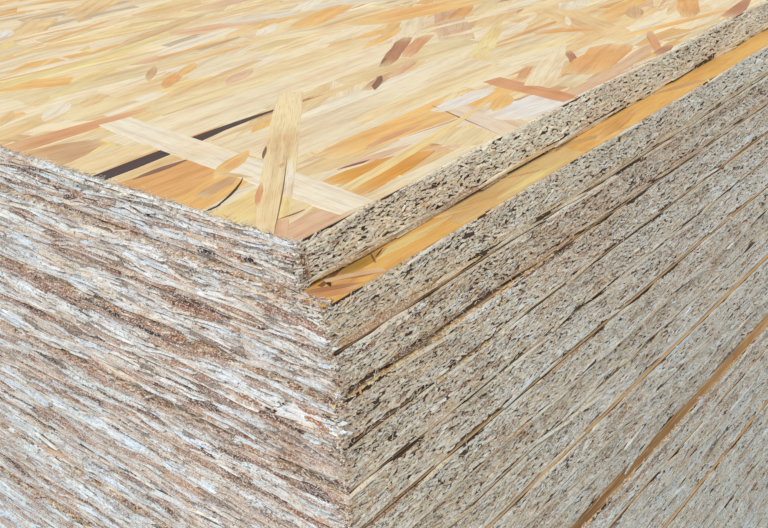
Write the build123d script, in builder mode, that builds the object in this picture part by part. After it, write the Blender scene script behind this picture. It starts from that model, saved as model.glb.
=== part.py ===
from build123d import *
from math import sin
import os

# Millimetres. The origin is the middle of the stack's footprint on the floor, +Z up.
# X runs along the sheets' length, Y along their width. The near corner is at -X, -Y.

# Sheet as sold
sheet_length = 2500.0
sheet_width = 1250.0
sheet_thickness = 15.0
sheet_count = 48

# Wear of a sawn sheet
arris = 0.4            # edge along both faces, broken by handling
crush = 1.4            # upright corner, crushed flat
crush_spread = 0.7     # how far that flat differs from sheet to sheet

# Loose stacking: where the near corner of a sheet strays to, and how far the sheet is turned about it
drift = 1.1            # most that a sheet strays along X and along Y
turn = 0.07            # most that a sheet is turned, in degrees

# The top sheets stray further. Shift of the near corner along X and Y, and turn, from the top down
top_sheets = [
    (1.2, 14.0, 0.03),
    (-1.4, 2.8, -0.05),
    (0.0, 1.8, 0.02),
    (-1.6, 0.8, 0.10),
    (-1.4, 0.6, -0.03),
    (-2.2, 0.2, 0.04),
]
lower_lift = 13        # from this sheet down, the stack was set down separately and stands out along the front
lower_shift = 3.2

# Torn edge: a bow-shaped sliver of strand is missing along one face of the sheet, once on every side
tear_length = 34.0
tear_depth = 1.8
tear_height = 1.1
tear_margin = 20.0     # least distance from a tear to the sheet's corner
tear_step = 393.0      # how far the tear moves along the side from one sheet to the next

# Larger tears near the photographed corner: sheet, side, distance from that corner, length, depth, height
large_tears = [
    (1, "front", 3.0, 15.0, 2.2, 1.5),
    (3, "front", 2.5, 19.0, 4.0, 1.7),
    (3, "front", 36.0, 54.0, 3.0, 1.4),
    (4, "front", 3.0, 38.0, 2.2, 1.2),
    (4, "front", 50.0, 25.0, 2.4, 1.2),
    (5, "left", 3.0, 24.0, 4.6, 1.8),
    (5, "left", 46.0, 120.0, 2.6, 1.2),
    (6, "front", 4.0, 36.0, 2.0, 1.1),
    (6, "front", 52.0, 26.0, 2.4, 1.3),
]

# Sides in turn round a sheet, and the corner where each begins, as shares of its length and width
side_starts = {"front": (0, 0), "right": (1, 0), "back": (1, 1), "left": (0, 1)}
side_names = list(side_starts)


def stray(number, step):
    # Uneven value from -1 to 1, another one for each sheet
    return sin(number * step)


def near_corner(number):
    # Shift along X and Y of a sheet's near corner, and the sheet's turn
    if number <= len(top_sheets):
        return top_sheets[number - 1]
    along = drift * stray(number, 2.4)
    across = drift * stray(number, 1.7)
    if number >= lower_lift:
        across -= lower_shift
    return along, across, turn * stray(number, 4.3)


def underside(number):
    # Plane of a sheet's lower face, with its origin at the near corner
    along, across, angle = near_corner(number)
    height = (sheet_count - number) * sheet_thickness
    corner = Vector(along - sheet_length / 2, across - sheet_width / 2, height)
    return Plane(origin=corner).rotated((0, 0, angle))


def side_plane(foot, side):
    # Plane in the sheet's lower face, with X along the side and Y into the sheet
    share_x, share_y = side_starts[side]
    start = foot.from_local_coords(Vector(share_x * sheet_length, share_y * sheet_width, 0))
    quarter = side_names.index(side) * 90
    return Plane(origin=start, x_dir=foot.x_dir, z_dir=foot.z_dir).rotated((0, 0, quarter))


def side_length(side):
    return sheet_length if side in ("front", "back") else sheet_width


def tears_of(number):
    # Every tear of one sheet: side, where it begins on that side, length, depth, height
    tears = []
    for tear in large_tears:
        if tear[0] == number:
            side, distance, length = tear[1:4]
            if side == "left":
                distance = sheet_width - distance - length
            tears.append((side, distance, length, *tear[4:]))
    torn_sides = [tear[0] for tear in tears]
    for place, side in enumerate(side_names):
        if side not in torn_sides:
            room = side_length(side) - tear_length - 2 * tear_margin
            start = tear_margin + (number + place) * tear_step % room
            tears.append((side, start, tear_length, tear_depth, tear_height))
    return tears


def tear_outline(plane, start, length, depth):
    # Bow-shaped outline of a tear, with its chord on the side of the sheet
    end = start + length
    with BuildSketch(plane) as bow:
        with BuildLine():
            ThreePointArc((start, 0), (start + length / 2, depth), (end, 0))
            Polyline((end, 0), (end, -depth), (start, -depth), (start, 0))
        make_face()
    return bow.sketch


os.makedirs("parts", exist_ok=True)

for number in range(1, sheet_count + 1):
    foot = underside(number)
    flat = crush + crush_spread * stray(number, 1.3)

    with BuildPart() as sheet:
        with BuildSketch(foot):
            Rectangle(sheet_length, sheet_width, align=(Align.MIN, Align.MIN))
        extrude(amount=sheet_thickness)
        chamfer(sheet.edges().filter_by(Axis.Z), length=flat)
        faces = sheet.faces().sort_by(Axis.Z)
        chamfer(faces[0].edges() + faces[-1].edges(), length=arris)
        for side, start, length, depth, height in tears_of(number):
            outline = tear_outline(side_plane(foot, side), start, length, depth)
            extrude(outline, amount=height, dir=(0, 0, 1), mode=Mode.SUBTRACT)

    name = f"panel_{number:02d}"
    sheet.part.label = name
    export_step(sheet.part, f"parts/{name}.step")
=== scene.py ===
import math

import bmesh
import bpy
import numpy as np
from mathutils import Matrix, Vector


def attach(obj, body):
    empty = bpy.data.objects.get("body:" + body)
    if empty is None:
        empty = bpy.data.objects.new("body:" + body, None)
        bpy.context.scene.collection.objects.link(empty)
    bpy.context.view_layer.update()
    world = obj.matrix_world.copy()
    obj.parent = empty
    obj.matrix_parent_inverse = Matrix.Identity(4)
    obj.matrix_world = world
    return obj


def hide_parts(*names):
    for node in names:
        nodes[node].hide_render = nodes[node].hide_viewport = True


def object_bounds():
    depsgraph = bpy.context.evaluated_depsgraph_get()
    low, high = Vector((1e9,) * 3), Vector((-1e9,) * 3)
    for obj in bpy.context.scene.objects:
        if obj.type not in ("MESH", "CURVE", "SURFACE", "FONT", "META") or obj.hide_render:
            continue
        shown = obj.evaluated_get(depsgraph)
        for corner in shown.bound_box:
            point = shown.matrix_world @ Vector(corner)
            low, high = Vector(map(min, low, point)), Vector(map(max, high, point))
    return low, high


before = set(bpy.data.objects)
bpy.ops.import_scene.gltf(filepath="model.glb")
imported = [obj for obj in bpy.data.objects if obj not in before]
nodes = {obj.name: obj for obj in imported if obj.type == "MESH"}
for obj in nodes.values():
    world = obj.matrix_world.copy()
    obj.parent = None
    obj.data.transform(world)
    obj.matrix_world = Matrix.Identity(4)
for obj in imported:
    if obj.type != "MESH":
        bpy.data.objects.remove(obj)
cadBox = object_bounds()
mm = 0.001
boardSize = (2500, 1250, 15)    # length, width and thickness of a sheet, mm
stackHeight = 0.72
upward = np.array((0.0, 0.0, 1.0))
print("frame loaded:", len(nodes), "sheets")

# Colours are written as they look in daylight, 0 to 255
tones = {
    "cream": (241, 224, 186),
    "ivory": (242, 230, 202),
    "butter": (239, 216, 166),
    "lemon": (241, 219, 154),
    "straw": (232, 200, 144),
    "gold": (240, 192, 116),
    "orange": (230, 174, 106),
    "amber": (222, 158, 64),
    "tan": (212, 170, 122),
    "rose": (228, 190, 152),
    "clay": (221, 162, 112),
    "rust": (186, 130, 92),
    "umber": (142, 100, 74),
    "bark": (72, 52, 46),
    # painted shade of holes: the tone of dark strands laid where cracks and pits are
    "olive": (188, 150, 74),
    "holeShade": (52, 38, 30),
    "chalk": (238, 234, 224),
    "mist": (202, 182, 152),
    "blush": (235, 213, 187),
}


def linear(colour):
    # 0 to 255 as seen, to the linear numbers that a shader takes
    share = np.asarray(colour, float) / 255
    return np.where(share <= 0.04045, share / 12.92, ((share + 0.055) / 1.055) ** 2.4)


def paint(colour):
    return (*linear(colour), 1)


def unitRows(vectors):
    return vectors / np.linalg.norm(vectors, axis=1)[:, None]


def turned(first, second, angles):
    # From the first direction toward the second, by each angle
    return first * np.cos(angles)[:, None] + second * np.sin(angles)[:, None]


# Sheets, as the frame has them

def sheetFrame(name):
    # Near corner of a sheet at its foot, directions along its long side and its short end, and height
    points = np.array([vertex.co[:] for vertex in nodes[name].data.vertices])
    low, high = points.min(0), points.max(0)
    reach = 6 * mm    # holds the crushed upright corner
    sideStart = min((p for p in points if p[0] < low[0] + reach), key=lambda p: p[1])
    sideEnd = min((p for p in points if p[0] > high[0] - reach), key=lambda p: p[1])
    endStart = min((p for p in points if p[1] < low[1] + reach), key=lambda p: p[0])
    along = (sideEnd - sideStart) * (1, 1, 0)
    along /= np.linalg.norm(along)
    corner = sideStart + along * ((endStart - sideStart) @ along)
    corner[2] = low[2]
    return {
        "corner": corner,
        "along": along,
        "into": np.array((-along[1], along[0], 0.0)),
        "height": high[2] - low[2],
    }


sheetNames = sorted(nodes)    # from the top down
sheets = [sheetFrame(name) for name in sheetNames]
topName, topSheet = sheetNames[0], sheets[0]
topCorner = topSheet["corner"] + (0, 0, topSheet["height"])


# Shader building

def addNode(tree, kind, **settings):
    node = tree.nodes.new(kind)
    for key, value in settings.items():
        if key in node.inputs:
            node.inputs[key].default_value = value
        else:
            setattr(node, key, value)
    return node


def mathNode(tree, operation, first, second=None):
    node = tree.nodes.new("ShaderNodeMath")
    node.operation = operation
    for socket, value in zip(node.inputs, (first, second)):
        if isinstance(value, (int, float)):
            socket.default_value = value
        elif value is not None:
            tree.links.new(value, socket)
    return node.outputs[0]


def plus(tree, first, second):
    return mathNode(tree, "ADD", first, second)


def minus(tree, first, second):
    return mathNode(tree, "SUBTRACT", first, second)


def times(tree, first, second):
    return mathNode(tree, "MULTIPLY", first, second)


def lesser(tree, first, second):
    return mathNode(tree, "MINIMUM", first, second)


def absolute(tree, value):
    return mathNode(tree, "ABSOLUTE", value)


def mixColour(tree, share, first, second, blend="MIX"):
    node = addNode(tree, "ShaderNodeMix", data_type="RGBA", blend_type=blend)
    sockets = (node.inputs[0], node.inputs[6], node.inputs[7])
    for socket, value in zip(sockets, (share, first, second)):
        if isinstance(value, (int, float, tuple)):
            socket.default_value = value
        else:
            tree.links.new(value, socket)
    return node.outputs[2]


def stretch(tree, vector, scale, turn=0.0, shift=(0, 0, 0)):
    node = tree.nodes.new("ShaderNodeMapping")
    node.inputs["Scale"].default_value = scale
    node.inputs["Rotation"].default_value = (0, 0, math.radians(turn))
    node.inputs["Location"].default_value = shift
    tree.links.new(vector, node.inputs["Vector"])
    return node.outputs[0]


def noise(tree, vector, cells, detail=2.0, roughness=0.5, shift=(0, 0, 0)):
    # cells: how many in a metre, along each axis
    node = addNode(tree, "ShaderNodeTexNoise", Scale=1.0, Detail=detail, Roughness=roughness)
    tree.links.new(stretch(tree, vector, cells, 0.0, shift), node.inputs["Vector"])
    return node.outputs["Fac"]


def spread(tree, value, low, high, toLow=0.0, toHigh=1.0):
    node = tree.nodes.new("ShaderNodeMapRange")
    for key, number in (("From Min", low), ("From Max", high), ("To Min", toLow), ("To Max", toHigh)):
        node.inputs[key].default_value = number
    tree.links.new(value, node.inputs["Value"])
    return node.outputs[0]


def ramp(tree, value, stops):
    # stops: place and colour as seen
    node = tree.nodes.new("ShaderNodeValToRGB")
    points = node.color_ramp.elements
    while len(points) < len(stops):
        points.new(0.5)
    for point, (place, colour) in zip(points, stops):
        point.position = place
        point.color = paint(colour)
    tree.links.new(value, node.inputs[0])
    return node.outputs[0]


def objectPlace(tree):
    return tree.nodes.new("ShaderNodeTexCoord").outputs["Object"]


def axesOf(tree, vector):
    node = tree.nodes.new("ShaderNodeSeparateXYZ")
    tree.links.new(vector, node.inputs[0])
    return node.outputs


def newGroup(name, inputs, outputs):
    tree = bpy.data.node_groups.new(name, "ShaderNodeTree")
    for socketName, kind, default in inputs:
        socket = tree.interface.new_socket(socketName, in_out="INPUT", socket_type=kind)
        if default is not None:
            socket.default_value = default
    for socketName, kind in outputs:
        tree.interface.new_socket(socketName, in_out="OUTPUT", socket_type=kind)
    return tree, tree.nodes.new("NodeGroupInput").outputs, tree.nodes.new("NodeGroupOutput").inputs


def useGroup(tree, group, values):
    node = tree.nodes.new("ShaderNodeGroup")
    node.node_tree = group
    for key, value in values.items():
        node.inputs[key].default_value = value
    return node


# Cells in a metre along and across a strand, detail and roughness of the noise, where the mask that it
# gives begins and ends, and the colour under the mask
fibreLook = {
    "Lines": {"noise": ((90, 2600, 1), 3.0, 0.6), "mask": (0.5, 0.72), "colour": (168, 116, 70)},
    "Bands": {"noise": ((16, 260, 1), 2.0, 0.5), "mask": (0.48, 0.75), "colour": (196, 140, 84)},
    "Pores": {"noise": ((900, 2400, 1), 2.0, 0.6), "mask": (0.56, 0.68), "colour": (92, 70, 52)},
}
fibreFinish = {"roughness": (0.3, 0.8, 0.52, 0.7), "poreDepth": 1.5}

# Broad patches of a warmer tone, over all strands
driftLook = {"noise": ((22, 70, 22), 3.0, 0.6), "mask": (0.45, 0.7, 0.0, 0.35), "colour": (232, 186, 128)}


def fibreGroup():
    # Wood fibre that runs along each strand: fine lines, broad bands and pores
    tree, given, out = newGroup(
        "woodFibre",
        [
            ("Tint", "NodeSocketColor", None),
            ("Lines", "NodeSocketFloat", 0.3),
            ("Bands", "NodeSocketFloat", 0.2),
            ("Pores", "NodeSocketFloat", 0.0),
        ],
        [("Color", "NodeSocketColor"), ("Roughness", "NodeSocketFloat"), ("Height", "NodeSocketFloat")],
    )
    grain = addNode(tree, "ShaderNodeUVMap", uv_map="grain").outputs[0]
    colour = given["Tint"]
    waves, masks = {}, {}
    for name, look in fibreLook.items():
        waves[name] = noise(tree, grain, *look["noise"])
        masks[name] = times(tree, spread(tree, waves[name], *look["mask"]), given[name])
        colour = mixColour(tree, masks[name], colour, paint(look["colour"]), "MULTIPLY")
    drift = spread(tree, noise(tree, objectPlace(tree), *driftLook["noise"]), *driftLook["mask"])
    colour = mixColour(tree, drift, colour, paint(driftLook["colour"]), "MULTIPLY")
    tree.links.new(colour, out["Color"])
    tree.links.new(spread(tree, waves["Lines"], *fibreFinish["roughness"]), out["Roughness"])
    pores = times(tree, masks["Pores"], fibreFinish["poreDepth"])
    tree.links.new(minus(tree, waves["Lines"], pores), out["Height"])
    return tree


def finishShader(material, colour, roughness, height, bumpDistance, strength=0.5, specular=0.3):
    tree = material.node_tree
    shader = tree.nodes["Principled BSDF"]
    shader.inputs["Specular IOR Level"].default_value = specular
    tree.links.new(colour, shader.inputs["Base Color"])
    tree.links.new(roughness, shader.inputs["Roughness"])
    bump = addNode(tree, "ShaderNodeBump", Strength=strength, Distance=bumpDistance)
    tree.links.new(height, bump.inputs["Height"])
    tree.links.new(bump.outputs[0], shader.inputs["Normal"])


def newMaterial(name):
    material = bpy.data.materials.new(name)
    material.use_nodes = True
    return material


woodFibre = fibreGroup()


def tintedFibre(tree, lines, bands, pores):
    # Each strand brings its own tint and its own fibre direction
    tint = addNode(tree, "ShaderNodeAttribute", attribute_name="tint").outputs["Color"]
    fibre = useGroup(tree, woodFibre, {"Lines": lines, "Bands": bands, "Pores": pores})
    tree.links.new(tint, fibre.inputs["Tint"])
    return fibre.outputs


pressedLook = {"lines": 0.42, "bands": 0.34, "pores": 0.0}


def pressedMaterial():
    # Strands that lie flat on a face
    material = newMaterial("pressedStrand")
    fibre = tintedFibre(material.node_tree, **pressedLook)
    finishShader(material, fibre["Color"], fibre["Roughness"], fibre["Height"], bumpDistance=0.15 * mm)
    return material


pressedStrand = pressedMaterial()

# Noise of a sawn edge: cells in a metre along the three axes, detail, roughness and shift
grainLook = {
    "pits": ((780, 780, 1300), 2.0, 0.6),
    "whiskers": ((1500, 1500, 2100), 1.0, 0.5, (5, 2, 1)),
    "crumbs": ((210, 210, 900), 2.0, 0.6, (2, 8, 4)),
    "patches": ((34, 34, 90), 1.0, 0.5, (1, 6, 9)),    # patches with more pits
    "pitMask": (0.60, 0.68),
    "whiskerMask": (0.50, 0.66),
    "crumbMask": (0.50, 0.66),
    "patchReach": (0.35, 0.65, -0.045, 0.045),
    "footReach": (0.15, 0.5, -0.05, 0.01),    # from share of a sheet's height to more or fewer pits
    "whiskerColour": (244, 247, 243),
    "pitShadeColour": (76, 56, 40),
    "crumbColour": (196, 150, 108),
}


def sawnGroup():
    # Crumbled grain of a sawn edge: pits with painted shade in them, pale whiskers and brown crumbs
    tree, given, out = newGroup(
        "sawnGrain",
        [
            ("Color", "NodeSocketColor", None),
            ("Pits", "NodeSocketFloat", 0.8),
            ("Whiskers", "NodeSocketFloat", 0.5),
            ("Crumbs", "NodeSocketFloat", 0.4),
            ("Crumb Color", "NodeSocketColor", paint(grainLook["crumbColour"])),
        ],
        [("Color", "NodeSocketColor"), ("Height", "NodeSocketFloat")],
    )
    place = objectPlace(tree)
    pits, whiskers, crumbs, patches = (
        noise(tree, place, *grainLook[key]) for key in ("pits", "whiskers", "crumbs", "patches")
    )
    # Fewer pits in the smooth band at the foot of each sheet
    share = mathNode(tree, "FRACT", mathNode(tree, "DIVIDE", axesOf(tree, place)[2], boardSize[2] * mm))
    depth = plus(tree, pits, spread(tree, patches, *grainLook["patchReach"]))
    depth = plus(tree, depth, spread(tree, share, *grainLook["footReach"]))
    pitMask = times(tree, spread(tree, depth, *grainLook["pitMask"]), given["Pits"])
    whiskerMask = times(tree, spread(tree, whiskers, *grainLook["whiskerMask"]), given["Whiskers"])
    crumbMask = times(tree, spread(tree, crumbs, *grainLook["crumbMask"]), given["Crumbs"])
    brown = mixColour(tree, crumbMask, given["Color"], given["Crumb Color"], "MULTIPLY")
    pale = mixColour(tree, whiskerMask, brown, paint(grainLook["whiskerColour"]))
    # Painted shade inside the pits, besides their dip in the bump
    pitted = mixColour(tree, pitMask, pale, paint(grainLook["pitShadeColour"]))
    tree.links.new(pitted, out["Color"])
    tree.links.new(minus(tree, times(tree, whiskers, 0.6), pitMask), out["Height"])
    return tree


sawnGrain = sawnGroup()

sawnLook = {
    "sawnFront": {
        "pits": 0.76, "whiskers": 0.58, "crumbs": 0.40, "crumbColour": (196, 150, 108),
        "lines": 0.45, "bands": 0.30,
    },
    "sawnEnd": {
        "pits": 0.60, "whiskers": 0.72, "crumbs": 0.50, "crumbColour": (196, 156, 130),
        "lines": 0.55, "bands": 0.45,
    },
}
pitReach = (0.08, 0.32)    # the pits fade to half over this distance from the upper near corner, metres


def sawnMaterial(name):
    # Cut ends and sides of strands
    material = newMaterial(name)
    tree = material.node_tree
    look = sawnLook[name]
    fibre = tintedFibre(tree, look["lines"], look["bands"], pores=0.3)
    grain = useGroup(tree, sawnGrain, {
        "Whiskers": look["whiskers"],
        "Crumbs": look["crumbs"],
        "Crumb Color": paint(look["crumbColour"]),
    })
    place = addNode(tree, "ShaderNodeVectorMath", operation="ADD")
    tree.links.new(objectPlace(tree), place.inputs[0])
    place.inputs[1].default_value = (boardSize[0] / 2 * mm, boardSize[1] / 2 * mm, -0.7)    # that corner
    away = addNode(tree, "ShaderNodeVectorMath", operation="LENGTH")
    tree.links.new(place.outputs[0], away.inputs[0])
    pits = spread(tree, away.outputs["Value"], *pitReach, look["pits"], look["pits"] * 0.5)
    tree.links.new(pits, grain.inputs["Pits"])
    tree.links.new(fibre["Color"], grain.inputs["Color"])
    height = plus(tree, grain.outputs["Height"], times(tree, fibre["Height"], 0.4))
    finishShader(
        material, grain.outputs["Color"], fibre["Roughness"], height, bumpDistance=0.5 * mm, strength=0.7,
    )
    return material


sawnFront = sawnMaterial("sawnFront")
sawnEnd = sawnMaterial("sawnEnd")

boardLook = {
    "skinTone": (194, 174, 142),
    "sheetTone": (212, 198, 180),   # some sheets are darker, by up to
    "sheetShare": 0.35,             # this share of it
    # painted shadow in the seams between sheets
    "seamShadowTone": (92, 70, 54),
    # painted light: tints of the long side and the short end by how the light falls on them
    "longSideShadeTint": (0.90, 0.97, 1.05, 1),
    "endSideLightTint": (1.0, 1.04, 1.2, 1),
    # painted shade, partly, like the shaded gaps between the cut strands near the corner
    "cornerGreyShade": (0.85, 0.88, 0.91, 1),    # the long side is greyer toward the near corner,
    "cornerReach": (-2.9, -1.9),            # between these values of x + 2 y - 1.2 z
    "lineTone": (180, 126, 78),
    "rimTones": ((196, 158, 112), (158, 138, 116)),    # rims of a face along its long and short sides, darkened by dust and painted shade
    # Noises: cells in a metre, detail, roughness and shift
    "ends": ((120, 120, 1250), 3.0, 0.6),                # strand ends along the edge and their layers
    "halves": ((600, 600, 625), 2.0, 0.6, (3, 1, 7)),    # shorter ends among them
    "clumps": ((70, 70, 160), 3.0, 0.7, (4, 4, 2)),      # clumps of lighter and darker ends
    "lines": ((60, 1500, 1), 2.0, 0.6),                  # fibre lines of a face
    "clumpReach": (0.3, 0.7, -0.09, 0.09),
    "lineReach": (0.45, 0.75, 0.0, 0.4),
    "roughness": (0.3, 0.7, 0.75, 0.6),
    "pits": 0.85,
    "skinReach": (1.2 * mm, 2.6 * mm),    # the smooth band beside each seam ends between these
    "seamShadowReach": (0.3 * mm, 0.7 * mm),
    "rimReach": (3 * mm, 6 * mm),
    "faceCell": (9.0, 46.0),   # strands in a metre along and across a face
    "faceTurns": ((9, 0.0), (-14, 5.3)),    # two sets of them: turn and shift
    "firstOnTop": 0.55,        # share of the face where the first set shows
    "edgeStops": [
        (0.28, (138, 108, 82)), (0.40, (182, 160, 132)),
        (0.52, (198, 185, 163)), (0.66, (216, 209, 194)),
    ],
    "faceStops": [
        (0.0, (204, 150, 100)), (0.14, (230, 186, 122)), (0.35, (232, 206, 156)),
        (0.6, (236, 218, 178)), (1.0, (239, 229, 204)),
    ],
}

# Where the ground behind the cut strands lies in shade. Its two ends move with the depth under
# the top: how much, and how far they begin from the near corner at the top, in metres
groundShade = {
    "colour": (112, 86, 66),
    "front": {"start": (1.427, 0.142), "reach": (0.287, 0.325), "deep": 0.345, "soft": 0.035, "most": 1.0},
    "end": {"start": (2.1, 0.256), "reach": (0.4, 0.160), "deep": 0.209, "soft": 0.03, "most": 0.42},
}


def shadeOnSide(tree, side, away, depth, facing):
    look = groundShade[side]
    start = minus(tree, times(tree, depth, look["start"][0]), look["start"][1])
    reach = plus(tree, times(tree, depth, look["reach"][0]), look["reach"][1])
    inside = lesser(tree, minus(tree, away, start), minus(tree, reach, away))
    inside = lesser(tree, inside, minus(tree, look["deep"], depth))
    shade = spread(tree, inside, 0.0, look["soft"], 0.0, look["most"])
    return times(tree, shade, mathNode(tree, "LESS_THAN", facing, -0.5))


def groundMask(tree, place, normal):
    x, y, z = axesOf(tree, place)
    depth = minus(tree, stackHeight, z)
    front = shadeOnSide(tree, "front", plus(tree, x, boardSize[0] / 2 * mm), depth, normal[1])
    end = shadeOnSide(tree, "end", plus(tree, y, boardSize[1] / 2 * mm), depth, normal[0])
    return mathNode(tree, "MAXIMUM", front, end)


def edgeColour(tree, place, value):
    # Strand ends in layers, smoother toward the faces of each sheet, and painted shadow in the seams
    # between sheets
    height = axesOf(tree, place)[2]
    toSeam = mathNode(tree, "PINGPONG", height, boardSize[2] / 2 * mm)
    sheetTone = addNode(tree, "ShaderNodeTexWhiteNoise", noise_dimensions="1D")
    sheetCount = mathNode(tree, "FLOOR", mathNode(tree, "DIVIDE", height, boardSize[2] * mm))
    tree.links.new(sheetCount, sheetTone.inputs["W"])
    strandEnds = ramp(tree, value, boardLook["edgeStops"])
    skin = spread(tree, toSeam, *boardLook["skinReach"], 0.8, 0.0)
    strandEnds = mixColour(tree, skin, strandEnds, paint(boardLook["skinTone"]))
    share = spread(tree, sheetTone.outputs["Value"], 0, 1, 0.0, boardLook["sheetShare"])
    shaded = mixColour(tree, share, strandEnds, paint(boardLook["sheetTone"]), "MULTIPLY")
    grain = useGroup(tree, sawnGrain, {"Pits": boardLook["pits"]})
    tree.links.new(shaded, grain.inputs["Color"])
    # Painted shadow: a dark line where two sheets meet, as the shade in the gap between them
    seam = spread(tree, toSeam, *boardLook["seamShadowReach"], 0.6, 0.0)
    edge = mixColour(tree, seam, grain.outputs["Color"], paint(boardLook["seamShadowTone"]))
    return edge, grain.outputs["Height"]


def faceColour(tree, place):
    # Two sets of strands that lie across each other, with fibre lines, and rims darkened by dust and
    # painted shade
    colours = []
    for turn, shift in boardLook["faceTurns"]:
        cells = addNode(tree, "ShaderNodeTexVoronoi", Scale=1.0)
        laid = stretch(tree, place, (*boardLook["faceCell"], 1), turn, (shift, shift, 0))
        tree.links.new(laid, cells.inputs["Vector"])
        parts = tree.nodes.new("ShaderNodeSeparateColor")
        tree.links.new(cells.outputs["Color"], parts.inputs[0])
        colours.append((ramp(tree, parts.outputs[0], boardLook["faceStops"]), parts.outputs[1]))
    pick = mathNode(tree, "GREATER_THAN", colours[1][1], boardLook["firstOnTop"])
    face = mixColour(tree, pick, colours[0][0], colours[1][0])
    lines = spread(tree, noise(tree, place, *boardLook["lines"]), *boardLook["lineReach"])
    face = mixColour(tree, lines, face, paint(boardLook["lineTone"]), "MULTIPLY")
    x, y = axesOf(tree, place)[:2]
    # Rims darkened partly by dust and partly by painted shade, as on the ledges under the sheet above
    for along, extent, tone in zip((y, x), (boardSize[1], boardSize[0]), boardLook["rimTones"]):
        toRim = minus(tree, extent / 2 * mm, absolute(tree, along))
        rim = spread(tree, toRim, *boardLook["rimReach"], 0.8, 0.0)
        face = mixColour(tree, rim, face, paint(tone))
    return face


def boardMaterial():
    # Sheets as pressed and sawn: strands on the faces, their cut ends on the edges
    material = newMaterial("strandBoard")
    tree = material.node_tree
    place = objectPlace(tree)
    ends, halves, clumps = (noise(tree, place, *boardLook[key]) for key in ("ends", "halves", "clumps"))
    value = plus(tree, times(tree, ends, 0.7), times(tree, halves, 0.3))
    value = plus(tree, value, spread(tree, clumps, *boardLook["clumpReach"]))
    edge, grainHeight = edgeColour(tree, place, value)
    normal = axesOf(tree, tree.nodes.new("ShaderNodeNewGeometry").outputs["True Normal"])
    edge = mixColour(tree, groundMask(tree, place, normal), edge, paint(groundShade["colour"]), "MULTIPLY")
    # Painted light by the way an edge faces: the long side greyer as painted shade, the short end bluer as
    # painted cool daylight
    short = mathNode(tree, "GREATER_THAN", absolute(tree, normal[0]), 0.8)
    sideLightTint = mixColour(tree, short, boardLook["longSideShadeTint"], boardLook["endSideLightTint"])
    edge = mixColour(tree, 1.0, edge, sideLightTint, "MULTIPLY")
    # Toward the near corner the long side gets darker, as painted shade of the gaps between the cut strands
    # there, and greyer like their cooler tone
    x, y, z = axesOf(tree, place)
    away = minus(tree, plus(tree, x, times(tree, y, 2.0)), times(tree, z, 1.2))
    near = spread(tree, away, *boardLook["cornerReach"], 1.0, 0.0)
    cornerGreyAndShade = times(tree, near, minus(tree, 1.0, short))
    edge = mixColour(tree, cornerGreyAndShade, edge, boardLook["cornerGreyShade"], "MULTIPLY")
    flat = mathNode(tree, "GREATER_THAN", absolute(tree, normal[2]), 0.8)
    colour = mixColour(tree, flat, edge, faceColour(tree, place))
    height = plus(tree, value, times(tree, grainHeight, 0.8))
    roughness = spread(tree, value, *boardLook["roughness"])
    finishShader(material, colour, roughness, height, bumpDistance=0.6 * mm, strength=0.6)
    return material


strandBoard = boardMaterial()
print("materials made")


# Strand shapes, modelled 1 x 1 x 1 and stretched where they are laid

def pickParts(parts, chosen, mesh, shape):
    for part in (*mesh.verts, *mesh.edges, *mesh.faces):
        part.select = False
    for part in parts:
        part.select = bool(chosen(part))
    mesh.select_flush_mode()
    bmesh.update_edit_mesh(shape.data)


def modelStrand(name, widths, shifts, slant=0.0, crown=0.92, dive=1.0):
    # widths and shifts: at even stations from end to end, as shares of the full width.
    # crown narrows the outer face, dive thins the two ends, slant skews them
    bpy.ops.object.select_all(action="DESELECT")
    bpy.ops.mesh.primitive_cube_add(size=1)
    shape = bpy.context.object
    shape.name = name
    bpy.ops.object.mode_set(mode="EDIT")
    bpy.ops.mesh.select_mode(type="EDGE")
    mesh = bmesh.from_edit_mesh(shape.data)
    pickParts(mesh.edges, lambda e: abs(e.verts[0].co.x - e.verts[1].co.x) > 0.9, mesh, shape)
    if len(widths) > 2:
        bpy.ops.mesh.subdivide(number_cuts=len(widths) - 2)
    bpy.ops.mesh.select_mode(type="VERT")
    for station, (width, shift) in enumerate(zip(widths, shifts)):
        at = station / (len(widths) - 1) - 0.5
        mesh = bmesh.from_edit_mesh(shape.data)
        pickParts(mesh.verts, lambda v: abs(v.co.x - at) < 0.01, mesh, shape)
        bpy.ops.transform.resize(value=(1, width, dive if abs(at) > 0.49 else 1))
        bpy.ops.transform.translate(value=(0, shift, 0))
    mesh = bmesh.from_edit_mesh(shape.data)
    pickParts(mesh.verts, lambda v: v.co.z > 0, mesh, shape)
    bpy.ops.transform.resize(value=(1, crown, 1))
    mesh = bmesh.from_edit_mesh(shape.data)
    pickParts(mesh.verts, lambda v: abs(v.co.x) > 0.49 and v.co.y > 0, mesh, shape)
    bpy.ops.transform.translate(value=(slant, 0, 0))
    bpy.ops.object.mode_set(mode="OBJECT")
    points = np.array([v.co[:] for v in shape.data.vertices])
    quads = np.array([list(f.vertices) for f in shape.data.polygons])
    normals = np.array([f.normal[:] for f in shape.data.polygons])
    cells = np.array([[cellSpot(points[v], n) for v in q] for q, n in zip(quads, normals)])
    bpy.data.objects.remove(shape)
    return {"points": points, "quads": quads, "cells": cells}


def cellSpot(point, normal):
    # Where a corner of a face lies in its strand's own rectangle of the bake map
    x, y, z = point + 0.5
    if abs(normal[0]) > 0.7:
        return (0.005 + 0.025 * y if normal[0] < 0 else 0.97 + 0.025 * y, 0.05 + 0.9 * z)
    u = 0.05 + 0.9 * x
    if normal[2] > 0.6:
        return (u, 0.03 + 0.6 * y)
    if normal[2] < -0.6:
        return (u, 0.66 + 0.08 * y)
    return (u, (0.77 if normal[1] > 0 else 0.88) + 0.08 * z)


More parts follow.
